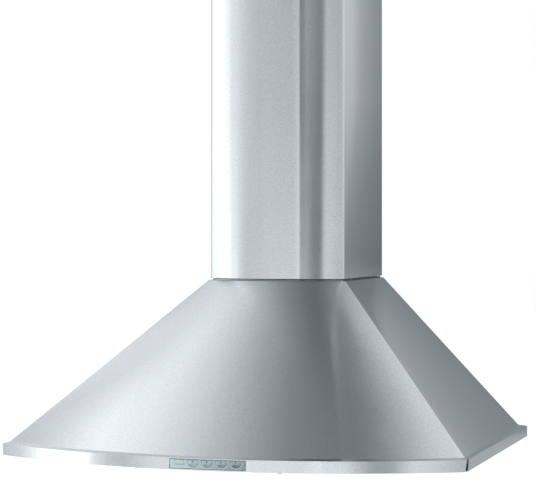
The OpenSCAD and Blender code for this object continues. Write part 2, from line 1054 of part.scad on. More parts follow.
// Switch block behind the panel, with a guide for each button stem and two feet on the panel
module switch_body() {
  color(dark_plastic)
    difference() {
      union() {
        translate([panel_x - window_w / 2 + 3, switch_y, 2.6])
          cube([window_w - 6, switch_d, 13.6]);
        intersection() {
          for (s = [-1, 1])
            translate([panel_x + s * (window_w / 2 - 4.5) - 1.5, switch_y - 12, 4])
              cube([3, 13, 10]);
          translate([0, lip_yc, 0])
            cylinder(r = lip_r - bezel_recess - bezel_t, h = lip_h, $fn = wide_fn);
        }
      }
      for (i = [1 : 4])
        translate([station_x(i) - 3 - slack, switch_y - 1, stem_z - 2 - slack])
          cube([6 + 2 * slack, switch_d - 4, 4 + 2 * slack]);
    }
}

module push_button(i) {
  x = station_x(i);
  y0 = bow_y(x, 0) + button_inset;
  color(panel_blue)
    difference() {
      union() {
        along_y(x, y0, button_z)
          linear_extrude(7)
            button_outline(0);
        translate([x - 3, y0 + 6, stem_z - 2])
          cube([6, switch_y - y0, 4]);
      }
      along_y(x, y0 - 1, button_z)
        cylinder(r = 1.3, h = 1.5, $fn = 32);
    }
}

module button_light() { push_button(1); }
module button_low() { push_button(2); }
module button_medium() { push_button(3); }
module button_high() { push_button(4); }

// Round lamp set: can, capsule bulb, frosted lens and trim ring
module lamp_housing(s) {
  color(galvanised)
    translate([s * lamp_x, lamp_y, sheet])
      difference() {
        union() {
          cylinder(r = lamp_r, h = lamp_h);
          translate([0, 0, sheet])
            cylinder(r = lamp_r + 4, h = 1);
        }
        translate([0, 0, -1])
          cylinder(r = lamp_r - 1.2, h = 6);
        translate([0, 0, 4.9])
          cylinder(r1 = lamp_r - 1.2, r2 = 12, h = lamp_h - 12);
        for (a = [0 : 45 : 315])
          rotate(a)
            translate([lamp_r - 6, -1.5, lamp_h - 12])
              cube([10, 3, 8]);
      }
}

module lamp_bulb(s) {
  color(glass)
    translate([s * lamp_x, lamp_y, 0])
      union() {
        translate([0, 0, 12])
          sphere(r = 5);
        translate([0, 0, 12])
          cylinder(r = 5, h = 8);
        translate([0, 0, 19])
          cylinder(r = 7, h = sheet + lamp_h - 7.1 - 19);
      }
}

module lamp_lens(s) {
  color(glass)
    translate([s * lamp_x, lamp_y, 0])
      union() {
        translate([0, 0, 0.4])
          cylinder(r = lamp_r - 3.2, h = 1.5);
        translate([0, 0, sheet])
          cylinder(r = lamp_r - 1.4, h = 1.8);
      }
}

module lamp_bezel(s) {
  color(steel)
    translate([s * lamp_x, lamp_y, 0])
      rotate_extrude($fn = 96)
        difference() {
          translate([lamp_r - 3, 0.1])
            square([8, 0.9]);
          translate([lamp_r + 5, 0])
            rotate(45)
              square([1, 1], center = true);
        }
}

module lamp_housing_left() { lamp_housing(-1); }
module lamp_housing_right() { lamp_housing(1); }
module lamp_bulb_left() { lamp_bulb(-1); }
module lamp_bulb_right() { lamp_bulb(1); }
module lamp_lens_left() { lamp_lens(-1); }
module lamp_lens_right() { lamp_lens(1); }
module lamp_bezel_left() { lamp_bezel(-1); }
module lamp_bezel_right() { lamp_bezel(1); }

// Power supply for the lamps, on the back plate
module lamp_driver() {
  color(white_plastic)
    translate([168, -sheet - 26, 44])
      union() {
        cube([92, 26, 32]);
        for (x = [-9, 92])
          translate([x, 24, 8])
            cube([9, 2, 16]);
      }
}

// Screws that hold the bottom plate to the return flanges, driven from below
module underside_screws() {
  half = lip_half - lip_flange / 2;
  front_r = lip_r - lip_flange / 2;
  color(alloy) {
    for (s = [-1, 1], y = [-40, -250, -480])
      translate([s * half, y, 0])
        underside_screw();
    for (s = [-1, 1])
      translate([s * lamp_x * 0.6, lip_yc - sqrt(front_r * front_r - pow(lamp_x * 0.6, 2)), 0])
        underside_screw();
  }
}

module underside_screw() {
  mirror([0, 0, 1])
    pan_head(3.2, 1.6);
  cylinder(r = 1.7, h = panel_top + 1);
}

module blower_screws() {
  color(alloy) {
    for (a = [30, 150, 270])
      wheel_plane(bracket_x - 1)
        rotate(a)
          translate([arm_r, 0, 0])
            union() {
              cylinder(r = 2, h = 6);
              translate([0, 0, 6])
                pan_head(4, 2);
            }
    for (x = [-scroll_w / 2 - 4, scroll_w / 2 + 4], y = [throat_in, throat_out])
      translate([x, wheel_y + y, throat_top + plate_t])
        pan_head(3.2, 2);
  }
}

// Grease filter: channel frame with hinge knuckles and a slot for its catch
module filter_frame(s) {
  rail = 14;
  y0 = filter_rear_y - filter_d;
  color(steel_side)
    translate([s * filter_x, 0, 0])
      difference() {
        union() {
          difference() {
            translate([-filter_w / 2, y0, filter_z])
              cube([filter_w, filter_d, filter_t]);
            translate([-filter_w / 2 + sheet, y0 + sheet, filter_z + sheet])
              cube([filter_w - 2 * sheet, filter_d - 2 * sheet, filter_t - 2 * sheet]);
            translate([-filter_w / 2 + rail, y0 + rail + 10, filter_z - 1])
              cube([filter_w - 2 * rail, filter_d - 2 * rail - 10, filter_t + 2]);
          }
          for (x = [-filter_w / 2 + 20, filter_w / 2 - 40])
            translate([x, 0, 0]) {
              axis_x(0, hinge_y, hinge_z)
                cylinder(r = rod_r + 1.8, h = 20);
              translate([0, filter_rear_y - 0.5, hinge_z - 1])
                cube([20, hinge_y - filter_rear_y, 2]);
            }
        }
        axis_x(-filter_w, hinge_y, hinge_z)
          cylinder(r = rod_r + 0.05, h = 2 * filter_w);
        translate([-latch_w / 2 - 0.5, y0 - 1, filter_z + sheet + 0.7])
          cube([latch_w + 1, 4, 4.6]);
        translate([-8, y0 + 5, filter_z - 1])
          cube([16, 8 + latch_travel, sheet + 2]);
      }
}

// Interleaved channels that turn the air and catch the grease
module filter_baffles(s) {
  pitch = 26;
  wide = 18;
  tall = (filter_t - 2 * sheet) / 2;
  wall = 0.8;
  rows = 12;
  y0 = filter_rear_y - filter_d + 18;
  long = filter_d - 19.5;
  color(alloy)
    for (i = [0 : rows - 1], level = [0, 1])
      if (i + level < rows)
        translate([
          s * filter_x + (i - (rows - 1) / 2 + level / 2) * pitch,
          y0,
          filter_z + sheet + level * tall
        ])
          difference() {
            translate([-wide / 2, 0, 0])
              cube([wide, long, tall]);
            translate([-wide / 2 + wall, -1, level > 0 ? -wall : wall])
              cube([wide - 2 * wall, long + 2, tall]);
          }
}

// Spring catch with its thumb grip, in the filter's front rail
module filter_latch(s) {
  y0 = filter_rear_y - filter_d;
  color(dark_plastic)
    translate([s * filter_x, y0, filter_z])
      union() {
        translate([-latch_w / 2, -1.2, sheet + 1])
          cube([latch_w, latch_deep - 2, 4]);
        translate([-7, 6, -0.9])
          cube([14, 3, sheet + 2]);
      }
}

module filter_frame_left() { filter_frame(-1); }
module filter_frame_right() { filter_frame(1); }
module filter_baffles_left() { filter_baffles(-1); }
module filter_baffles_right() { filter_baffles(1); }
module filter_latch_left() { filter_latch(-1); }
module filter_latch_right() { filter_latch(1); }

canopy_shell();
front_fascia();
rear_panel();
underside_panel();
filter_hinge_rods();
blower_scroll();
inlet_ring_left();
inlet_ring_right();
motor_bracket();
motor_grommets();
motor_body();
blower_brackets();
capacitor();
capacitor_strap();
junction_box();
junction_box_cover();
terminal_block();
cable_gland();
outlet_adaptor();
outlet_collar();
damper_rod();
lower_duct_cover();
cover_bracket();
control_bezel();
switch_body();
pilot_lens();
lamp_housing_left();
lamp_housing_right();
lamp_bulb_left();
lamp_bulb_right();
lamp_lens_left();
lamp_lens_right();
lamp_bezel_left();
lamp_bezel_right();
lamp_driver();
underside_screws();
blower_screws();
cover_screws();
upper_duct_cover();
ceiling_bracket();
ceiling_screws();
impeller();
motor_shaft();
impeller_nut();
damper_flap_left();
damper_flap_right();
filter_frame_left();
filter_frame_right();
filter_baffles_left();
filter_baffles_right();
filter_latch_left();
filter_latch_right();
button_light();
button_low();
button_medium();
button_high();
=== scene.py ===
"""Looks for a wall mount range hood in brushed stainless steel.

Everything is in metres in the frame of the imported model: the wall is the plane y = 0, the lip's
lower edge is z = 0, the front looks along -y, and x = 0 is the hood's centreline.
"""

import math
from collections import namedtuple

import bmesh
import bpy
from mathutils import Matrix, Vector

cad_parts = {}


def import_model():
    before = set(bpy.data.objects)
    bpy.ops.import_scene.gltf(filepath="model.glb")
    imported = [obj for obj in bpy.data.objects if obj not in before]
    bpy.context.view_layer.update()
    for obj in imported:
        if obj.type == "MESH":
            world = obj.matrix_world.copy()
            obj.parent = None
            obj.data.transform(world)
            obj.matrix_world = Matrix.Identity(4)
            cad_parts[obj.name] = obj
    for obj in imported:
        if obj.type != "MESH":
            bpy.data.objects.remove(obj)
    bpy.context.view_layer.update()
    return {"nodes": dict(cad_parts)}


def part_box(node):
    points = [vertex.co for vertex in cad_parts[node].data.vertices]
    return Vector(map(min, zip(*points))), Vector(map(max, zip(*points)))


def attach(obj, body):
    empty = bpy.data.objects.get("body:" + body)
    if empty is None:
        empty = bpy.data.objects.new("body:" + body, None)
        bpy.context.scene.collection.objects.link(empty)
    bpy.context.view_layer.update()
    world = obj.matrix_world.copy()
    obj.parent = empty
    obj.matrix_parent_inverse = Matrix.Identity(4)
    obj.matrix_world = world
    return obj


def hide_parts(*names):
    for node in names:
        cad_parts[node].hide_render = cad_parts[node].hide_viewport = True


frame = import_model()
MM = 0.001

# Sheet metal: its thickness, the radius that a press brake leaves at a fold, and the length of the
# rounding at a front corner with its number of steps
SHEET = 1.0 * MM
FOLD = 0.8 * MM
CREASE = 2.6 * MM
CREASE_STEPS = 5

# Heights of the lip, the canopy's foot and its neck, and the groove and flanges there
LIP_H = 18.5 * MM
FOOT_Z = 20 * MM
NECK_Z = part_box("lower_duct_cover")[0].z
GROOVE_H = 2.5 * MM
GROOVE_DEEP = 3 * MM
NECK_FLANGE = 18 * MM
LIP_FLANGE = 14 * MM

# Points closer than this are one point
WELD = 0.001 * MM

# A plan outline: half widths at the front corners and at the wall, and the bow's circle
Plan = namedtuple("Plan", "half rear radius centre")


def bowed_plan(half, rear, corner, bow):
    radius = (half * half + bow * bow) / (2 * bow)
    return Plan(half, rear, radius, radius - corner - bow)


LIP = bowed_plan(381 * MM, 381 * MM, 516 * MM, 99 * MM)
FOOT = bowed_plan(375 * MM, 365 * MM, 503 * MM, 99 * MM)
NECK = bowed_plan(118 * MM, 118 * MM, 254 * MM, 36 * MM)


def inset(plan, by):
    return Plan(plan.half - by, plan.rear - by, plan.radius - by, plan.centre)


def corner_y(plan):
    return plan.centre - math.sqrt(plan.radius ** 2 - plan.half ** 2)


def bow_y(plan, x):
    return plan.centre - math.sqrt(plan.radius ** 2 - x * x)


def inside(plan, point):
    return abs(point.x) < plan.half and point.y > bow_y(plan, point.x)


# Mesh building

def between(a, b, t):
    return [p.lerp(q, t) for p, q in zip(a, b)]


def steps(low, high, count):
    return [low + (high - low) * i / count for i in range(count + 1)]


def side_and_bow(plan, z, side_cuts=(), side_steps=6, bow_steps=120):
    """Points from the wall on the right, round the front, to the wall on the left."""
    corner = Vector((plan.half, corner_y(plan), z))
    wall = Vector((plan.rear, 0, z))
    along = (wall - corner).normalized()
    last = corner + along * CREASE
    cuts = side_cuts or [wall.lerp(last, t).y for t in steps(0, 1, side_steps)]
    length = wall.y - corner.y
    side = [corner.lerp(wall, (y - corner.y) / length) for y in cuts]
    swing = math.asin(plan.half / plan.radius) - CREASE / plan.radius

    def on_bow(a):
        return Vector((plan.radius * math.sin(a), plan.centre - plan.radius * math.cos(a), z))

    start, end = side[-1], on_bow(swing)
    crease = [
        start * (1 - t) ** 2 + corner * (2 * t * (1 - t)) + end * t * t
        for t in steps(0, 1, CREASE_STEPS)[1:]
    ]
    bow = [on_bow(a) for a in steps(swing, 0, bow_steps // 2)[1:]]
    right = side + crease + bow
    return right + [Vector((-p.x, p.y, z)) for p in right[-2::-1]]


def folded(rows, radius=FOLD, count=3):
    """Rounds the fold at every inner row of a sheet."""
    out = [rows[0]]
    for before, fold, after in zip(rows, rows[1:], rows[2:]):
        for t in steps(0, 1, count):
            row = []
            for a, b, c in zip(before, fold, after):
                start = b + (a - b).normalized() * radius
                end = b + (c - b).normalized() * radius
                row.append(start * (1 - t) ** 2 + b * (2 * t * (1 - t)) + end * t * t)
            out.append(row)
    return out + [rows[-1]]


def add_grid(bm, rows, keep=None, closed=False):
    """Faces between neighbouring rows. keep(i, j) says whether column i of row j has one."""
    grid = [[bm.verts.new(p) for p in row] for row in rows]
    columns = len(rows[0])
    for j in range(len(rows) - 1):
        for i in range(columns if closed else columns - 1):
            n = (i + 1) % columns
            if keep is None or keep(i, j):
                bm.faces.new((grid[j][i], grid[j + 1][i], grid[j + 1][n], grid[j][n]))
    return grid


# Corners of a box's faces, where a corner's number counts x first, then y, then z
BOX_FACES = [(0, 2, 3, 1), (4, 5, 7, 6), (0, 1, 5, 4), (2, 6, 7, 3), (0, 4, 6, 2), (1, 3, 7, 5)]


def add_box(bm, low, high):
    corners = [
        bm.verts.new((x, y, z))
        for z in (low[2], high[2]) for y in (low[1], high[1]) for x in (low[0], high[0])
    ]
    for face in BOX_FACES:
        bm.faces.new([corners[i] for i in face])


def add_lathe(bm, profile, centre, count=96):
    """Turns a profile of (radius, height) about the upright line through centre."""
    rows = []
    for r, z in profile:
        rows.append([
            Vector((centre[0] + r * math.cos(a), centre[1] + r * math.sin(a), z))
            for a in steps(0, 2 * math.pi, count)[:-1]
        ])
    add_grid(bm, rows, closed=True)


def painted_shade(made, level):
    """Marks how much painted shade each point gets, from 0 to 1, by its place."""
    layer = made.data.attributes.new("painted_shade", "FLOAT", "POINT")
    for vertex, value in zip(made.data.vertices, layer.data):
        value.value = level(vertex.co)


def make_object(name, bm):
    bmesh.ops.remove_doubles(bm, verts=bm.verts, dist=WELD)
    mesh = bpy.data.meshes.new(name)
    bm.to_mesh(mesh)
    bm.free()
    mesh.shade_smooth()
    made = bpy.data.objects.new(name, mesh)
    bpy.context.scene.collection.objects.link(made)
    return made


def apply_modifiers(made):
    made.data = bpy.data.meshes.new_from_object(
        made.evaluated_get(bpy.context.evaluated_depsgraph_get())
    )
    made.modifiers.clear()


def thicken(made, by=SHEET):
    """Gives a sheet its thickness, behind the face that was drawn."""
    solid = made.modifiers.new("thickness", "SOLIDIFY")
    solid.thickness = by
    solid.offset = -1
    solid.use_even_offset = True


def soften(made, width=0.25 * MM, angle=38):
    """Breaks the sharp edges, and keeps flat faces flat in the shading."""
    bevel = made.modifiers.new("edges", "BEVEL")
    bevel.width = width
    bevel.segments = 3
    bevel.limit_method = "ANGLE"
    bevel.angle_limit = math.radians(angle)
    bevel.harden_normals = True


def place(made, body, material, replaces=()):
    """Gives a piece its finish, and fixes it to the CAD body that it moves with."""
    made.data.materials.clear()
    made.data.materials.append(material)
    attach(made, body)
    if replaces:
        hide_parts(*replaces)
    return made


def sheet_piece(name, bm, body, material, replaces=(), thickness=SHEET, edge=0.22 * MM):
    made = make_object(name, bm)
    thicken(made, thickness)
    soften(made, edge)
    apply_modifiers(made)
    return place(made, body, material, replaces)


def solid_piece(name, bm, body, material, replaces=(), edge=0.4 * MM):
    made = make_object(name, bm)
    soften(made, edge)
    apply_modifiers(made)
    return place(made, body, material, replaces)


# Materials

def linear(value):
    """A hex sRGB colour as linear RGBA."""
    channels = [int(value[i:i + 2], 16) / 255 for i in (1, 3, 5)]
    return [c / 12.92 if c <= 0.04045 else ((c + 0.055) / 1.055) ** 2.4 for c in channels] + [1]


def add_node(tree, kind, links=None, **settings):
    """Adds a node with its settings, its input values and the sockets that feed it."""
    node = tree.nodes.new(kind)
    values = settings.pop("values", {})
    for name, value in settings.items():
        setattr(node, name, value)
    for name, value in values.items():
        node.inputs[name].default_value = value
    for name, socket in (links or {}).items():
        tree.links.new(socket, node.inputs[name])
    return node


def new_material(name, **values):
    material = bpy.data.materials.new(name)
    material.use_nodes = True
    shader = material.node_tree.nodes["Principled BSDF"]
    for key, value in values.items():
        label = "IOR" if key == "ior" else key.replace("_", " ").title()
        shader.inputs[label].default_value = value
    return material, material.node_tree, shader


def object_noise(tree, stretch, detail=3.0, roughness=0.55):
    """Noise whose grain is 1 / stretch metres long on each axis of the object's own frame."""
    place_in = add_node(tree, "ShaderNodeTexCoord")
    scaled = add_node(tree, "ShaderNodeMapping", {"Vector": place_in.outputs["Object"]},
                      values={"Scale": stretch})
    noise = add_node(tree, "ShaderNodeTexNoise", {"Vector": scaled.outputs["Vector"]},
                     values={"Scale": 1.0, "Detail": detail, "Roughness": roughness})
    return noise.outputs["Fac"]


# Places of the two colours and of their blend among a Mix node's sockets, and the range that holds
# most of a noise
MIX_FIRST, MIX_SECOND, MIX_BLEND = 6, 7, 2
NOISE_SPAN = (0.3, 0.7)


def vary(tree, shader, pattern, colours=None, rough=None, span=NOISE_SPAN):
    """Lets a pattern blend two close colours, vary the roughness between two values, or both."""
    if colours:
        blend = add_node(tree, "ShaderNodeMix", {"Factor": pattern}, data_type="RGBA",
                         values={MIX_FIRST: linear(colours[0]), MIX_SECOND: linear(colours[1])})
        tree.links.new(blend.outputs[MIX_BLEND], shader.inputs["Base Color"])
    if rough:
        spread = add_node(tree, "ShaderNodeMapRange", {"Value": pattern},
                          values={"From Min": span[0], "From Max": span[1],
                                  "To Min": rough[0], "To Max": rough[1]})
        tree.links.new(spread.outputs["Result"], shader.inputs["Roughness"])


def darken_with_painted_shade(tree, shader, shade_colour):
    """Paints shade: blends the base colour towards a dark shade colour as far as the painted shade
    attribute says.
    """
    base = shader.inputs["Base Color"]
    shade_amount = add_node(tree, "ShaderNodeAttribute", attribute_name="painted_shade")
    mix = add_node(tree, "ShaderNodeMix",
                   {"Factor": shade_amount.outputs["Fac"], MIX_FIRST: base.links[0].from_socket},
                   data_type="RGBA", values={MIX_SECOND: linear(shade_colour)})
    tree.links.new(mix.outputs[MIX_BLEND], base)


def brushed_stainless(name, lines_across="z", rough=0.13):
    """Cold-rolled stainless sheet with a directional belt finish.

    The belt's scratches smear reflections across themselves, so an upright sheet shows tall soft
    bands, and the lines themselves show as faint streaks. Painted shade darkens the sheet where
    the
    painted shade attribute says: in the groove at the neck and on the fascia's end tabs. Real
    scratches are about 0.1 mm wide, drawn here at about 1.6 mm so that they show in the render.
    """
    across = 1 / (1.6 * MM)
    along = 1 / (3.2 * MM)
    stretch = (along, along, across) if lines_across == "z" else (along, across, along)
    material, tree, shader = new_material(name, metallic=1.0, roughness=rough, anisotropic=1.0,
                                          anisotropic_rotation=0.25)
    streaks = object_noise(tree, stretch, detail=2.0)
    strong = add_node(tree, "ShaderNodeMapRange", {"Value": streaks},
                      values={"From Min": NOISE_SPAN[0], "From Max": NOISE_SPAN[1]})
    vary(tree, shader, strong.outputs["Result"], ("#C3C6C9", "#CED2D5"))
    # Painted shade: the dark grey that the shade attribute blends the steel towards
    darken_with_painted_shade(tree, shader, "#3E4245")
    handling = object_noise(tree, (9, 9, 9), detail=4.0)
    vary(tree, shader, handling, rough=(rough - 0.01, rough + 0.02))
    bump = add_node(tree, "ShaderNodeBump", {"Height": streaks},
                    values={"Strength": 0.03, "Distance": 0.02 * MM})
    tree.links.new(bump.outputs["Normal"], shader.inputs["Normal"])
    if lines_across == "z":
        # The lines run level on every upright face: square to its normal and, but for a hair that
        # keeps the product from vanishing on a level face, to the upright axis
        normal = add_node(tree, "ShaderNodeNewGeometry")
        line = add_node(tree, "ShaderNodeVectorMath", {0: normal.outputs["Normal"]},
                        values={1: (0, 0.0001, 1)}, operation="CROSS_PRODUCT")
    else:
        line = add_node(tree, "ShaderNodeCombineXYZ", values={"X": 1.0})
    tree.links.new(line.outputs["Vector"], shader.inputs["Tangent"])
    return material


def galvanised_sheet():
    """Hot-dip zinc on steel sheet: dull, with faint crystal spangles about 9 mm across."""
    spangle = 9 * MM
    material, tree, shader = new_material("galvanised_sheet", metallic=1.0, roughness=0.42)
    place_in = add_node(tree, "ShaderNodeTexCoord")
    cells = add_node(tree, "ShaderNodeTexVoronoi", {"Vector": place_in.outputs["Object"]},
                     values={"Scale": 1 / spangle, "Randomness": 1.0})
    shade = add_node(tree, "ShaderNodeSeparateColor", {"Color": cells.outputs["Color"]})
    vary(tree, shader, shade.outputs["Red"], ("#A5AAAC", "#BCC1C2"))
    vary(tree, shader, shade.outputs["Green"], rough=(0.36, 0.5), span=(0, 1))
    return material


def rolled_aluminium():
    """Mill-finish aluminium strip: pale, soft, with rolling lines along its length."""
    material, tree, shader = new_material("rolled_aluminium", metallic=1.0, roughness=0.34)
    lines = object_noise(tree, (700, 12, 700), detail=2.0)
    vary(tree, shader, lines, ("#C2C5C7", "#D6D9DA"), (0.28, 0.42))
    return material


def zinc_plated():
    """Bright zinc plating on turned screws, rods and the shaft."""
    material, tree, shader = new_material("zinc_plated", metallic=1.0, roughness=0.24)
    haze = object_noise(tree, (160, 160, 160))
    vary(tree, shader, haze, ("#B9BBB8", "#CFD0CC"), (0.2, 0.32))
    return material


def moulded_plastic(name, dark, light, rough=0.45, texture=0.4 * MM, strength=0.12):
    """Injection-moulded plastic with a spark-eroded mould texture."""
    material, tree, shader = new_material(name, roughness=rough, ior=1.5)
    broad = object_noise(tree, (40, 40, 40))
    vary(tree, shader, broad, (dark, light), (rough - 0.04, rough + 0.05))
    fine = object_noise(tree, (1 / texture,) * 3, detail=2.0)
    bump = add_node(tree, "ShaderNodeBump", {"Height": fine},
                    values={"Strength": strength, "Distance": 0.05 * MM})
    tree.links.new(bump.outputs["Normal"], shader.inputs["Normal"])
    return material


def silver_lacquer():
    """ABS in a cool silver lacquer: metal flakes about 0.3 mm across under a thin clear coat.

    Painted shade darkens it where the painted shade attribute says: in the keys' dimples and
    rolled-back lower parts, and along the panel's upper and right-hand edges.
    """
    flake = 0.3 * MM
    material, tree, shader = new_material("silver_lacquer", metallic=0.9, roughness=0.2,
                                          coat_weight=0.15, coat_roughness=0.2)
    flakes = object_noise(tree, (1 / flake,) * 3, detail=1.0)
    strong = add_node(tree, "ShaderNodeMapRange", {"Value": flakes},
                      values={"From Min": NOISE_SPAN[0], "From Max": NOISE_SPAN[1]})
    vary(tree, shader, strong.outputs["Result"], ("#9EACB3", "#AAB6BB"))
    # Painted shade: the dark grey that the shade attribute blends the lacquer towards
    darken_with_painted_shade(tree, shader, "#2E3336")
    vary(tree, shader, flakes, rough=(0.18, 0.23))
    return material


def stove_enamel():
    """Satin enamel on the motor's steel can, with a slight orange peel."""
    material, tree, shader = new_material("stove_enamel", roughness=0.42, ior=1.5)
    peel = object_noise(tree, (350, 350, 350), detail=1.0)
    vary(tree, shader, peel, ("#50565B", "#5E656A"))
    bump = add_node(tree, "ShaderNodeBump", {"Height": peel},
                    values={"Strength": 0.15, "Distance": 0.1 * MM})
    tree.links.new(bump.outputs["Normal"], shader.inputs["Normal"])
    return material


def frosted_glass():
    """Acid-etched lamp glass: white where light falls on it, soft where seen through."""
    material, tree, shader = new_material("frosted_glass", roughness=0.42, ior=1.52,
                                          transmission_weight=0.75)
    etch = object_noise(tree, (1200, 1200, 1200), detail=1.0)
    vary(tree, shader, etch, ("#E6EAEB", "#F4F6F6"), (0.36, 0.48))
    return material


def clear_glass():
    """Quartz capsule of the lamp bulb."""
    material, tree, shader = new_material("clear_glass", roughness=0.03, ior=1.46,
                                          transmission_weight=1.0)
    waves = object_noise(tree, (90, 90, 90), detail=1.0)
    vary(tree, shader, waves, ("#EEF1F2", "#F8FAFA"))
    return material


def pilot_green():
    """Tinted acrylic light guide of the pilot lamp, matt inside, so it reads pale green."""
    material, tree, shader = new_material("pilot_green", roughness=0.22, ior=1.49,
                                          transmission_weight=0.25)
    cloud = object_noise(tree, (500, 500, 500), detail=2.0)
    vary(tree, shader, cloud, ("#B5CBCB", "#C6DADA"))
    return material


steel = brushed_stainless("brushed_stainless")
steel_flat = brushed_stainless("brushed_stainless_flat", lines_across="y", rough=0.24)
zinc_sheet = galvanised_sheet()
aluminium = rolled_aluminium()
plated = zinc_plated()
enamel = stove_enamel()
black_plastic = moulded_plastic("black_nylon", "#1B1E20", "#25292C")
white_plastic = moulded_plastic("white_nylon", "#DADCDB", "#E8EAE9", rough=0.4)
rubber = moulded_plastic("moulded_rubber", "#17181A", "#202224", rough=0.72, texture=0.8 * MM)
lacquer = silver_lacquer()
lens_glass = frosted_glass()
bulb_glass = clear_glass()
pilot = pilot_green()


# Canopy: the lofted skin with its ledge, neck and two side bands, whose front ends slant

BAND_END_TOP = -500 * MM
BAND_END_LOW = -510 * MM
SKIN_FOLD = 0.6 * MM
BAND_FOLD = 0.45 * MM
# Painted shade in the groove at the neck: somewhat lighter at the front, full at its sides
GROOVE_SHADE = 0.6
GROOVE_SIDE_SHADE = 1.0


def canopy():
    slope_top = (NECK_Z - GROOVE_H - FOOT_Z) / (NECK_Z - FOOT_Z)
    side_count = 7
    foot_row = side_and_bow(FOOT, FOOT_Z, side_steps=side_count)
    neck_row = side_and_bow(NECK, NECK_Z, side_steps=side_count)
    groove = inset(NECK, GROOVE_DEEP)
    ledge = inset(LIP, SHEET)
    ledge_cuts = steps(0, BAND_END_TOP, side_count - 1) + [corner_y(ledge) + CREASE]
    ledge_row = side_and_bow(ledge, LIP_H, ledge_cuts)
    bm = bmesh.new()
    rows = [
        ledge_row,
        foot_row,
        between(foot_row, neck_row, slope_top),
        side_and_bow(groove, NECK_Z - GROOVE_H, side_steps=side_count),
        side_and_bow(groove, NECK_Z, side_steps=side_count),
        side_and_bow(inset(NECK, NECK_FLANGE), NECK_Z, side_steps=side_count),
    ]
    add_grid(bm, folded(rows, SKIN_FOLD))
    slant = BAND_END_LOW / BAND_END_TOP
    for side in (1, -1):
        top = ledge_row[:side_count] if side > 0 else ledge_row[-side_count:][::-1]
        out = [Vector((side * LIP.half, p.y, LIP_H)) for p in top]
        low = [Vector((side * LIP.half, p.y * slant, 0)) for p in top]
        back = [Vector((side * (LIP.half - LIP_FLANGE), p.y * slant, 0)) for p in top]
        band = folded([back, low, out, top], BAND_FOLD)
        if side < 0:
            band = [row[::-1] for row in band]
        add_grid(bm, band)
    made = sheet_piece("canopy_steel", bm, "hood", steel, ["canopy_shell"])

    def in_groove(p):
        if p.z < NECK_Z - 2 * GROOVE_H or not inside(inset(NECK, GROOVE_DEEP / 2), p):
            return 0
        at_side = abs(p.x) > NECK.half - GROOVE_DEEP - 0.2 * SHEET
        return GROOVE_SIDE_SHADE if at_side else GROOVE_SHADE

    # Painted shade in the groove at the neck
    painted_shade(made, in_groove)


# Fascia: the bowed lip band with slanted ends and the controls' window

# The controls' window, the band's half width at its lower and upper edge, the length at each end
# that takes up the slant, and the half width of the flanges behind
PANEL_X = 4 * MM
PANEL_W = 122 * MM
PANEL_Z = (2 * MM, 17 * MM)
FASCIA_HALF = (379.2 * MM, 380.7 * MM)
SLANT_ZONE = 12 * MM
FLANGE_HALF = 350 * MM
# The tab folded back at each end: its start behind the corner, and its gaps to the side band, to
# the band's ends and to its upper and lower edges
TAB_START = 1.4 * MM
TAB_GAP = 3 * MM
TAB_INSET = 0.3 * MM
TAB_EDGE = 1.3 * MM


def fascia():
    middle = sum(FASCIA_HALF) / 2
    edges = [PANEL_X - PANEL_W / 2, PANEL_X + PANEL_W / 2]
    columns = sorted(set(steps(-middle, middle, 150) + edges), reverse=True)
    flange_columns = [x for x in columns if abs(x) < FLANGE_HALF]
    behind = 0.9 * SHEET

    def row(z):
        lean = FASCIA_HALF[0] + (FASCIA_HALF[1] - FASCIA_HALF[0]) * z / LIP_H - middle
        points = []
        for x in columns:
            share = max(0, abs(x) - middle + SLANT_ZONE) / SLANT_ZONE
            x += lean * share if x > 0 else -lean * share
            points.append(Vector((x, bow_y(LIP, x), z)))
        return points

    def flange_row(z, deeper):
        plan = inset(LIP, deeper)
        return [Vector((x, bow_y(plan, x), z)) for x in flange_columns]

    bm = bmesh.new()
    upright = [row(0), row(PANEL_Z[0]), row(PANEL_Z[1]), row(LIP_H)]

    def outside_window(i, j):
        in_window = edges[0] - WELD < columns[i + 1] and columns[i] < edges[1] + WELD
        return not (j == 1 and in_window)

    def beside_window(i, j):
        return not (edges[0] - 2 * SHEET < flange_columns[i] < edges[1] + 2 * SHEET)

    add_grid(bm, upright, outside_window)
    add_grid(bm, [flange_row(0, LIP_FLANGE), flange_row(0, behind)])
    top = LIP_H - SHEET
    add_grid(bm, [flange_row(top, behind), flange_row(top, LIP_FLANGE)], beside_window)
    # The tabs get painted shade, for the shade in the gap before the side band
    tab_y = [corner_y(LIP) + TAB_START, BAND_END_TOP + TAB_GAP]
    for side in (1, -1):
        tab = [
            [Vector((side * (half - TAB_INSET), y, z)) for y in tab_y]
            for half, z in zip(FASCIA_HALF, (TAB_EDGE, LIP_H - TAB_EDGE))
        ]
        add_grid(bm, tab if side < 0 else tab[::-1])
    made = sheet_piece("front_fascia_steel", bm, "hood", steel,
                       ["front_fascia"], edge=0.3 * MM)
    tab_x = FASCIA_HALF[0] - 3.2 * SHEET
    # Painted shade on the tabs at both ends
    painted_shade(made, lambda p: float(abs(p.x) > tab_x and p.y > tab_y[0] - 0.1 * SHEET))


# Duct covers: a bowed channel each, open at the wall, with a return flange at each rear edge

RETURN_W = 12 * MM
# The lower cover stands this far above the canopy's neck, on a flange of its own
FOOT_GAP = 0.8 * MM
FOOT_FLANGE = 10 * MM
# The upper cover's gap to the lower one, the distances from its top down to its vents and to the
# end of its return flange, and the vents' places along each side
COVER_GAP = 1.6 * MM
VENT_TOP = 30 * MM
VENT_FOOT = 74 * MM
RETURN_TOP = 38 * MM
VENT_W = 3.5 * MM
VENTS = [(y * MM, y * MM + VENT_W) for y in range(-200, -69, 26)]


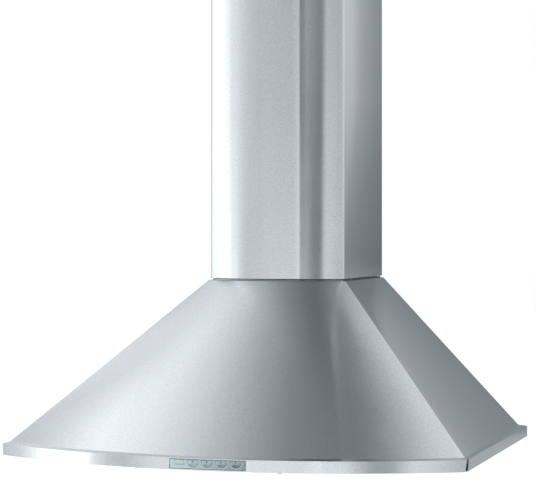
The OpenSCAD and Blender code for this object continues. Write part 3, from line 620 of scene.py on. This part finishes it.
def cover_path(plan, rear, z, cuts):
    outline = side_and_bow(plan, z, cuts)
    right = Vector((plan.half - RETURN_W, rear, z))
    return [right, Vector((plan.half, rear, z))] + outline[1:-1] + [
        Vector((-plan.half, rear, z)), Vector((-right.x, rear, z))
    ]


def duct_cover(name, body, node, plan, rear, slots=()):
    low, high = (corner.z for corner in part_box(node))
    start = corner_y(plan) + CREASE
    cuts = sorted({rear, start} | {y for slot in slots for y in slot}, reverse=True)
    slot_low, slot_high = high - VENT_FOOT, high - VENT_TOP
    flange_top = high - RETURN_TOP
    levels = [low, slot_low, flange_top, slot_high, high] if slots else [low + FOOT_GAP, high]
    rows = [cover_path(plan, rear, z, cuts) for z in levels]
    count = len(rows[0])

    def keep(i, j):
        if not slots:
            return True
        middle = (levels[j] + levels[j + 1]) / 2
        if i in (0, count - 2):
            return middle < flange_top
        a, b = rows[0][i], rows[0][i + 1]
        on_side = abs(a.x - b.x) < WELD
        in_slot = any(abs((a.y + b.y) / 2 - sum(s) / 2) < VENT_W / 3 for s in slots)
        return not (on_side and in_slot and slot_low < middle < slot_high)

    bm = bmesh.new()
    add_grid(bm, rows, keep)
    if not slots:
        foot = [side_and_bow(inset(NECK, d), levels[0] + SHEET) for d in (SHEET / 2, FOOT_FLANGE)]
        for ring in foot:
            ring[0].y = ring[-1].y = -SHEET
        add_grid(bm, foot)
    sheet_piece(name, bm, body, steel, [node], edge=0.4 * MM)


# Control panel: one moulding with four wells and the pilot window, and four half-round buttons

PITCH = 22.6 * MM
BUTTON_HALF = 8.5 * MM
BUTTON_Z = 13.6 * MM
BUTTON_TOP = 15.4 * MM
STATIONS = [PANEL_X + (i - 2) * PITCH for i in range(5)]


def half_round(x, z, centre_x, grow=0.0):
    """Distance outside a button's outline: a half disc with a short straight top."""
    dx = abs(x - centre_x)
    dz = z - BUTTON_Z
    body = math.hypot(dx, dz) - BUTTON_HALF if dz < 0 else dx - BUTTON_HALF
    return max(body, z - BUTTON_TOP) - grow


def fade(x, start, end):
    """0 at start and before it, 1 at end and past it, with a smooth turn between."""
    t = min(1, max(0, (x - start) / (end - start)))
    return t * t * (3 - 2 * t)


# A relief's free edges move onto an outline that is nearer than this many cells
SNAP = 1.5


def relief(x_range, z_range, depth, keep, outlines=(), pitch=0.45 * MM):
    """A moulded face over the bow: depth(x, z) is how far it lies behind the lip's face.

    Its free edges near an outline, the zero line of a distance in the face, are drawn onto it.
    """
    xs = steps(x_range[1], x_range[0], round((x_range[1] - x_range[0]) / pitch))
    zs = steps(z_range[0], z_range[1], round((z_range[1] - z_range[0]) / pitch))
    rows = [[Vector((x, bow_y(LIP, x) + depth(x, z), z)) for x in xs] for z in zs]
    bm = bmesh.new()
    add_grid(bm, rows, lambda i, j: keep((xs[i] + xs[i + 1]) / 2, (zs[j] + zs[j + 1]) / 2))
    bmesh.ops.delete(bm, geom=[v for v in bm.verts if not v.link_faces], context="VERTS")
    nudge = 0.02 * MM
    for vertex in [v for v in bm.verts if v.is_boundary]:
        x, z = vertex.co.x, vertex.co.z
        for outline in outlines:
            away = outline(x, z)
            if abs(away) < SNAP * pitch:
                slope_x = (outline(x + nudge, z) - away) / nudge
                slope_z = (outline(x, z + nudge) - away) / nudge
                x -= away * slope_x
                z -= away * slope_z
        vertex.co = (x, bow_y(LIP, x) + depth(x, z), z)
    return bm


PANEL_LEAN = math.radians(4)
PANEL_RECESS = 0.5 * MM
KEY_RECESS = 0.4 * MM
KEY_GAP = 0.1 * MM
# The pilot lens's half width, and the heights of its lower and upper edge
LENS_HALF = 8 * MM
LENS_Z = (8.5 * MM, 15.5 * MM)


def panel_lean(z):
    """The panel's face looks a little downward, so it falls back towards its lower edge."""
    return (PANEL_Z[1] - z) * math.tan(PANEL_LEAN)


def control_panel():
    margin = 0.1 * MM
    well_rim = 0.9 * MM
    x_range = (PANEL_X - PANEL_W / 2 + margin, PANEL_X + PANEL_W / 2 - margin)
    z_range = (PANEL_Z[0] + margin, PANEL_Z[1] - margin)

    def edge_gap(x, z):
        return min(x_range[1] - x, z_range[1] - z)

    def depth(x, z):
        border = 0.4 * MM * fade(edge_gap(x, z), 0.9 * MM, 0)
        well = max(
            0.1 * MM * fade(half_round(x, z, centre, well_rim), well_rim, -well_rim)
            for centre in STATIONS[1:]
        )
        return PANEL_RECESS + panel_lean(z) + border + well

    def keep(x, z):
        in_lens = abs(x - STATIONS[0]) < LENS_HALF and LENS_Z[0] < z < LENS_Z[1]
        return not in_lens and all(half_round(x, z, c, KEY_GAP) > 0 for c in STATIONS[1:])

    wells = [lambda x, z, c=c: half_round(x, z, c, KEY_GAP) for c in STATIONS[1:]]
    made = make_object("control_panel_moulding", relief(x_range, z_range, depth, keep, wells))
    thicken(made, 1.4 * MM)
    apply_modifiers(made)
    # Painted shade along the panel's upper and right-hand edges
    painted_shade(made, lambda p: 0.35 * fade(edge_gap(p.x, p.z), 1.2 * MM, 0))
    place(made, "hood", lacquer, ["control_bezel"])


def button(name, node, body, centre):
    """A key with a small dimple near its top, whose lowest part rolls back under the finger."""
    dimple_r = 1.5 * MM
    margin = 0.6 * MM

    def outline(x, z):
        return half_round(x, z, centre)

    def rolled(x, z):
        drop = BUTTON_Z - z - 0.12 * abs(x - centre)
        return fade(drop, 3 * MM, 6.6 * MM)

    def dimple(x, z):
        return fade(math.hypot(x - centre, z - BUTTON_Z), 1.5 * dimple_r, 0.5 * dimple_r)

    def depth(x, z):
        side = 0.1 * MM * fade(outline(x, z), -0.8 * MM, 0)
        return (KEY_RECESS + panel_lean(z) + side + 0.45 * MM * rolled(x, z)
                + 0.7 * MM * dimple(x, z))

    bm = relief(
        (centre - BUTTON_HALF - margin, centre + BUTTON_HALF + margin),
        (BUTTON_Z - BUTTON_HALF - margin, BUTTON_TOP + margin), depth,
        lambda x, z: outline(x, z) < 0, [outline], pitch=0.35 * MM,
    )
    made = make_object(name, bm)
    thicken(made, 2.6 * MM)
    apply_modifiers(made)
    # Painted shade in the dimple and on the rolled-back lower part
    painted_shade(made, lambda p: max(0.4 * dimple(p.x, p.z), 0.15 * rolled(p.x, p.z)))
    place(made, body, lacquer, [node])


def pilot_window():
    """A flat window with a narrower stem behind it, which runs back to the lamp."""
    low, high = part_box("pilot_lens")
    window_t = 2.4 * MM
    step_x, step_y, step_z = 2 * MM, 2 * MM, 1 * MM
    bm = bmesh.new()
    add_box(bm, low, (high.x, low.y + window_t, high.z))
    add_box(bm, (low.x + step_x, low.y + step_y, low.z + step_z),
            (high.x - step_x, high.y, high.z - step_z))
    solid_piece("pilot_light_guide", bm, "hood", pilot, ["pilot_lens"])


# Underside: bottom plate, lamps and hinged filters

LAMP = (190 * MM, -505 * MM)
# In millimetres: the trim ring's outer radius, bore and height, and the lens's radius inside it,
# its shoulder above the ring, its back and the height and rise of its dome
RING_R, RING_BORE, RING_H = 36, 28.1, 1
LENS_R, SHOULDER_R, LENS_BACK = 27.6, 29.6, 2.8
LENS_LOW, LENS_RISE = 0.42, 0.4


def lathe_piece(name, profile, centre, material, node):
    """Turns a closed profile in millimetres about the upright line through centre."""
    bm = bmesh.new()
    add_lathe(bm, [(r * MM, z * MM) for r, z in profile], centre)
    bmesh.ops.remove_doubles(bm, verts=bm.verts, dist=WELD)
    bmesh.ops.recalc_face_normals(bm, faces=bm.faces)
    solid_piece(name, bm, "hood", material, [node], edge=0.12 * MM)


def underside_lamp(label, side):
    """A rolled trim ring and the domed frosted lens that it frames."""
    centre = (side * LAMP[0], LAMP[1])
    quarter = math.pi / 2

    def rounded(r, z, wide, high, count):
        return [(r + wide * math.sin(a), z - high * math.cos(a)) for a in steps(0, quarter, count)]

    roll = rounded(RING_R - 0.8, RING_H, 0.8, 0.9, 8)
    lip = rounded(RING_BORE + 0.5, 0.6, -0.5, 0.5, 6)
    ring = [(RING_BORE, RING_H)] + lip[::-1] + roll + [(RING_BORE, RING_H)]
    lathe_piece(f"lamp_ring_{label}", ring, centre, steel_flat,
                f"lamp_bezel_{label}")
    dome = [(r, LENS_LOW + LENS_RISE * (r / LENS_R) ** 4) for r in steps(0, LENS_R, 16)]
    lens = dome + [(LENS_R + 0.2, RING_H), (SHOULDER_R, RING_H), (SHOULDER_R, LENS_BACK),
                   (0, LENS_BACK)]
    lathe_piece(f"lamp_glass_{label}", lens, centre, lens_glass,
                f"lamp_lens_{label}")


def dress(material, *nodes):
    """Gives CAD nodes whose shape is right their finish."""
    for name in nodes:
        node = frame["nodes"][name]
        node.data.materials.clear()
        node.data.materials.append(material)


canopy()
fascia()
duct_cover("lower_cover_steel", "hood", "lower_duct_cover", NECK, 0)
duct_cover("upper_cover_steel", "upper_cover", "upper_duct_cover", inset(NECK, COVER_GAP),
           -COVER_GAP, VENTS)
control_panel()
pilot_window()
for label, centre in zip(("light", "low", "medium", "high"), STATIONS[1:]):
    button(f"{label}_key", f"button_{label}", f"{label}_button", centre)

for label, side in (("left", -1), ("right", 1)):
    underside_lamp(label, side)

dress(steel_flat, "underside_panel", "filter_frame_left", "filter_frame_right")
dress(zinc_sheet, "rear_panel", "blower_scroll", "inlet_ring_left", "inlet_ring_right",
      "motor_bracket", "blower_brackets", "capacitor_strap", "junction_box", "junction_box_cover",
      "outlet_adaptor", "outlet_collar", "cover_bracket", "ceiling_bracket", "lamp_housing_left",
      "lamp_housing_right")
dress(plated, "filter_hinge_rods", "motor_shaft", "impeller_nut", "damper_rod",
      "underside_screws", "blower_screws", "cover_screws", "ceiling_screws")
dress(aluminium, "impeller", "damper_flap_left", "damper_flap_right", "filter_baffles_left",
      "filter_baffles_right")
dress(enamel, "motor_body")
dress(rubber, "motor_grommets")
dress(white_plastic, "capacitor", "terminal_block", "lamp_driver")
dress(black_plastic, "cable_gland", "switch_body", "filter_latch_left", "filter_latch_right")
dress(bulb_glass, "lamp_bulb_left", "lamp_bulb_right")


# Studio: floor, glossy-only surround, lamps, world and camera

# What the room's fill light adds to every reflection
COOL_FILL = (0, 0.028, 0.042)


def emitter(name):
    """A card that shows only in reflections, as bright as its mesh's level attribute says."""
    material = bpy.data.materials.new(name)
    material.use_nodes = True
    tree = material.node_tree
    tree.nodes.clear()
    level = add_node(tree, "ShaderNodeAttribute", attribute_name="level")
    cool = add_node(tree, "ShaderNodeVectorMath", {0: level.outputs["Color"]},
                    values={1: COOL_FILL}, operation="ADD")
    glow = add_node(tree, "ShaderNodeEmission", {"Color": cool.outputs["Vector"]})
    add_node(tree, "ShaderNodeOutputMaterial", {"Surface": glow.outputs["Emission"]})
    return material


def card(name, rows, brightness, keep=None):
    bm = bmesh.new()
    add_grid(bm, rows, keep)
    made = make_object(name, bm)
    level = made.data.attributes.new("level", "FLOAT", "POINT")
    for vertex, value in zip(made.data.vertices, level.data):
        value.value = brightness(vertex.co)
    made.data.materials.append(emitter(name + "_glow"))
    made.visible_camera = False
    made.visible_diffuse = False
    made.visible_transmission = False
    made.visible_volume_scatter = False
    made.visible_shadow = False
    return made


def ramp(stops, x):
    """Straight-line blend between (place, level) stops."""
    if x <= stops[0][0]:
        return stops[0][1]
    for (a, low), (b, high) in zip(stops, stops[1:]):
        if x <= b:
            return low + (high - low) * (x - a) / (b - a)
    return stops[-1][1]


# Level of the surround by bearing in degrees from straight ahead, right positive: the band that
# the lip mirrors, and the lower and upper end of the band that the duct cover mirrors
DOWN_STOPS = [(-110, 0.9), (-60, 1.8), (-34, 1.9), (-28, 1.8), (-24, 1.3), (-18, 0.75),
              (-13, 0.36), (-8, 0.08), (5, 0.1), (20, 0.5), (60, 0.8), (110, 0.9)]
LOW_STOPS = [(-95, 0.6), (-83, 0.6), (-77, 0.8), (-71, 1.4), (-67, 2.1), (-54, 2.2), (-51, 1.2),
             (-46, 0.68), (-42, 0.58), (-38, 0.84), (-33, 1.12), (-28, 1.16), (-20, 1.35),
             (-8, 1.64), (-3, 1.7), (4, 1.66), (8, 1.75), (12, 2.25), (16, 2.1), (19, 1.56),
             (23, 0.86), (26, 0.86), (31, 1.3), (34, 1.3), (38, 1.12), (46, 0.66), (70, 0.9),
             (120, 0.95)]
MID_STOPS = [(-110, 0.9), (-92, 1.2), (-84, 1.9), (-62, 1.9), (-58, 1.25), (-50, 1.12),
             (-42, 0.95), (-36, 0.82), (-30, 0.76), (-20, 0.92), (-10, 0.91), (4, 0.9),
             (7, 1.05), (9.9, 1.22), (11.1, 0.25), (15, 0.04), (20, 0), (24, 0), (29, 0),
             (31.5, 0.3), (32.5, 1.05), (40, 1.15), (45, 1.15), (52, 0.98), (60, 0.85),
             (78, 0.7), (86, 0.6), (125, 0.5), (135, 0.5)]
HIGH_STOPS = [(-110, 0.9), (-92, 0.75), (-86, 1.2), (-82, 1.9), (-72, 1.9), (-66, 1.5),
              (-60, 1.22), (-50, 1.08), (-40, 0.88), (-30, 0.75), (-14, 0.67), (2, 0.63),
              (7, 0.7), (9.6, 0.74), (10.4, 0.2), (17, 0.54), (24, 0.48), (30, 0.34), (33, 0.3),
              (35.5, 0.66), (48, 0.58), (56, 0.8), (78, 0.9), (86, 1.2), (125, 1.2), (135, 0.9)]
# Level overhead by the sideways part of the direction: behind the hood, as the canopy's front
# mirrors it, and before the hood, as the duct cover throws it back at the canopy
ROOF_STOPS = [(-1, 0.9), (-0.7, 0.74), (-0.67, 0.8), (-0.64, 1.07), (-0.62, 1.42), (-0.6, 1.66),
              (-0.57, 1.82), (-0.54, 1.67), (-0.48, 1.5), (-0.41, 1.12), (-0.33, 0.81),
              (-0.24, 0.53), (-0.16, 0.34), (-0.08, 0.3), (-0.03, 0.27), (0.02, 0.275),
              (0.05, 0.36), (0.09, 0.56), (0.11, 0.86), (0.13, 1.12), (0.17, 1.28), (0.3, 1.05),
              (0.6, 1.4), (1, 1.4)]
FRONT_ROOF_STOPS = [(-1, 0.9), (-0.4, 0.9), (-0.15, 0.52), (0, 0.4), (0.08, 0.32), (0.3, 0.28),
                    (0.6, 0.4), (1, 0.8)]
ROOF_DEPTH = [(0.1, 1.0), (0.2, 0.93), (0.3, 0.88), (0.4, 0.98), (0.5, 1.05)]
DOME_R = 60.0
DOME_CENTRE = Vector((0, -0.3, 0.3))
# The card that stands for the wall: its half width, its lower and upper edge and its place
WALL_HALF = 0.9
WALL_Z = (-0.3, 1.2)
WALL_Y = 6 * MM
# Level of the wall behind, by the distance from the hood's outline: it lies in the hood's shade
CANOPY_SHADE = [(0, 0.27), (0.13, 0.41), (0.4, 0.7), (0.8, 0.9)]
COVER_SHADE = [(0, 0.34), (0.014, 0.38), (0.042, 0.49), (0.056, 0.56), (0.07, 0.72), (0.2, 0.9)]
BELOW_LIP = 0.49
COVER_SHADE_BY_HEIGHT = [(0.28, 0.56), (0.45, 0.7), (0.6, 0.92), (0.74, 1.0), (0.85, 1.0),
                         (1.0, 0.86)]


def surround_level(point):
    way = (point - DOME_CENTRE).normalized()
    bearing = math.degrees(math.atan2(way.x, -way.y))
    rise = math.degrees(math.asin(max(-1, min(1, way.z))))
    down, low, mid, high = (
        ramp(stops, bearing) for stops in (DOWN_STOPS, LOW_STOPS, MID_STOPS, HIGH_STOPS)
    )
    # The gap between the lip's band and the cover's band is wider where the cover is dark
    wider = fade(bearing, 8.5, 11.5) * fade(bearing, 31, 27)
    level = ramp([(-45, 0.5 * down), (-25, 0.8 * down), (-15, down), (-11.5, low),
                  (-4.6 - wider, low), (-3.4 - 1.8 * wider, mid), (7, high)], rise)
    overhead = ramp(ROOF_STOPS, way.x) * ramp(ROOF_DEPTH, way.y)
    # Small changes to what the canopy's left part and its right part mirror
    overhead *= 1 + 0.8 * fade(way.y, 0.54, 0.64) * fade(way.x, -0.4, -0.5)
    overhead *= 1 - 0.07 * fade(way.x, -0.4, -0.46)
    overhead *= 1 + fade(way.x, -0.02, 0.03) * (0.07 - 0.17 * fade(way.y, 0.21, 0.31))
    overhead += (ramp(FRONT_ROOF_STOPS, way.x) - overhead) * fade(way.y, 0, -0.12)
    return level + (overhead - level) * fade(rise, 14, 34)


def wall_outline(z):
    """Half width of the hood where it meets the wall."""
    slope = (FOOT.rear - NECK.rear) / (NECK_Z - FOOT_Z)
    return FOOT.rear - max(0, min(NECK_Z, z) - FOOT_Z) * slope


def wall_level(point):
    gap = max(0, abs(point.x) - wall_outline(point.z))
    narrowed = gap * ramp([(0.28, 0.5), (0.6, 1.0)], point.z)
    shade = ramp(COVER_SHADE_BY_HEIGHT, point.z)
    shade += (1.05 - shade) * fade(gap, 0.36, 0.46)
    beside_cover = ramp(COVER_SHADE, narrowed) * shade * (1 + 0.2 * fade(gap, 0.12, 0.28))
    beside_canopy = ramp(CANOPY_SHADE, gap) * (1 + 1.1 * (point.z - 0.155) * fade(gap, 0, 0.08))
    share = fade(point.z, NECK_Z - 10 * MM, NECK_Z + 30 * MM)
    level = beside_canopy * (1 - share) + beside_cover * share
    return level + (BELOW_LIP - level) * fade(point.z, FOOT_Z, FOOT_Z - 30 * MM)


def surround():
    """The dome round the room, and the wall behind the hood, open where the hood covers it."""
    rows = []
    for rise in steps(-45, 90, 90):
        flat = DOME_R * math.cos(math.radians(rise))
        up = DOME_R * math.sin(math.radians(rise))
        rows.append([
            DOME_CENTRE + Vector((flat * math.sin(a), -flat * math.cos(a), up))
            for a in steps(-math.pi, math.pi, 720)
        ])
    card("surround_dome", rows, surround_level)
    wall = [
        [Vector((x, WALL_Y, z)) for x in steps(WALL_HALF, -WALL_HALF, 180)]
        for z in steps(*WALL_Z, 100)
    ]

    def beside_hood(i, j):
        a, b = wall[j][i], wall[j + 1][i + 1]
        behind = max(abs(a.x), abs(b.x)) < wall_outline(b.z) - 3 * MM
        return not (behind and a.z > 0)

    card("wall_behind", wall, wall_level, beside_hood)


FLOOR_Z = -1.6
FLOOR_HALF = 40
WHITE = (1, 1, 1, 1)


def floor():
    """A pale floor, a little lifted where the camera sees it, that nothing mirrors."""
    bm = bmesh.new()
    ends = (-FLOOR_HALF, FLOOR_HALF)
    add_grid(bm, [[Vector((x, y, FLOOR_Z)) for x in ends[::-1]] for y in ends])
    made = make_object("floor", bm)
    material, tree, shader = new_material("pale_floor", base_color=linear("#F4F4F4"),
                                          roughness=0.9, emission_color=WHITE)
    path = add_node(tree, "ShaderNodeLightPath")
    lift = add_node(tree, "ShaderNodeMath", {0: path.outputs["Is Camera Ray"]}, values={1: 0.25},
                    operation="MULTIPLY")
    tree.links.new(lift.outputs["Value"], shader.inputs["Emission Strength"])
    # Seen from below the floor is clear, so that views of the underside show the hood
    facing = add_node(tree, "ShaderNodeNewGeometry")
    clear = add_node(tree, "ShaderNodeBsdfTransparent")
    one_sided = add_node(tree, "ShaderNodeMixShader", {0: facing.outputs["Backfacing"]})
    tree.links.new(shader.outputs["BSDF"], one_sided.inputs[1])
    tree.links.new(clear.outputs["BSDF"], one_sided.inputs[2])
    tree.links.new(one_sided.outputs["Shader"], tree.nodes["Material Output"].inputs["Surface"])
    made.data.materials.append(material)
    made.visible_glossy = False
    made.visible_transmission = False


def world():
    """White where it is seen, and a little softer where it lights the hood."""
    made = bpy.data.worlds.new("studio")
    made.use_nodes = True
    tree = made.node_tree
    tree.nodes.clear()
    path = add_node(tree, "ShaderNodeLightPath")
    seen = path.outputs["Is Camera Ray"]
    for ray in ("Is Glossy Ray", "Is Transmission Ray"):
        seen = add_node(tree, "ShaderNodeMath", {0: seen, 1: path.outputs[ray]},
                        operation="MAXIMUM").outputs["Value"]
    soft = add_node(tree, "ShaderNodeBackground", values={"Color": WHITE, "Strength": 0.9})
    white = add_node(tree, "ShaderNodeBackground", values={"Color": WHITE, "Strength": 1.0})
    mix = add_node(tree, "ShaderNodeMixShader", {0: seen})
    tree.links.new(soft.outputs["Background"], mix.inputs[1])
    tree.links.new(white.outputs["Background"], mix.inputs[2])
    add_node(tree, "ShaderNodeOutputWorld", {"Surface": mix.outputs["Shader"]})
    bpy.context.scene.world = made


LIGHT_SIZE = 1.6
LIGHT_TARGET = Vector((0, -0.3, 0.3))


def lamp(name, place_at, power):
    light = bpy.data.lights.new(name, "AREA")
    light.size = LIGHT_SIZE
    light.energy = power
    made = bpy.data.objects.new(name, light)
    made.location = place_at
    made.rotation_euler = (LIGHT_TARGET - Vector(place_at)).to_track_quat("-Z", "Y").to_euler()
    made.visible_glossy = False
    bpy.context.scene.collection.objects.link(made)


# Camera, solved from the photograph's perspective: a long lens, level, right of the hood
IMAGE_W = 536
IMAGE_H = 485
FOCAL_PX = 1897.23
CENTRE_PX = (300.0, 228.4)
TURN = math.radians(16.84)
CAMERA_AT = (0.96402, -3.30363, 0.36473)
SENSOR_W = 36


def camera():
    data = bpy.data.cameras.new("camera")
    data.sensor_width = SENSOR_W
    data.lens = SENSOR_W * FOCAL_PX / IMAGE_W
    data.shift_x = (IMAGE_W / 2 - CENTRE_PX[0]) / IMAGE_W
    data.shift_y = (CENTRE_PX[1] - IMAGE_H / 2) / IMAGE_W
    data.clip_end = 100
    made = bpy.data.objects.new("camera", data)
    made.location = CAMERA_AT
    made.rotation_euler = (math.radians(90), 0, TURN)
    bpy.context.scene.collection.objects.link(made)
    bpy.context.scene.camera = made


surround()
floor()
world()
lamp("key", (-1.8, -2.6, 2.2), 40)
lamp("fill", (2.4, -2.4, 1.2), 15)
camera()

scene = bpy.context.scene
scene.view_settings.view_transform = "Standard"
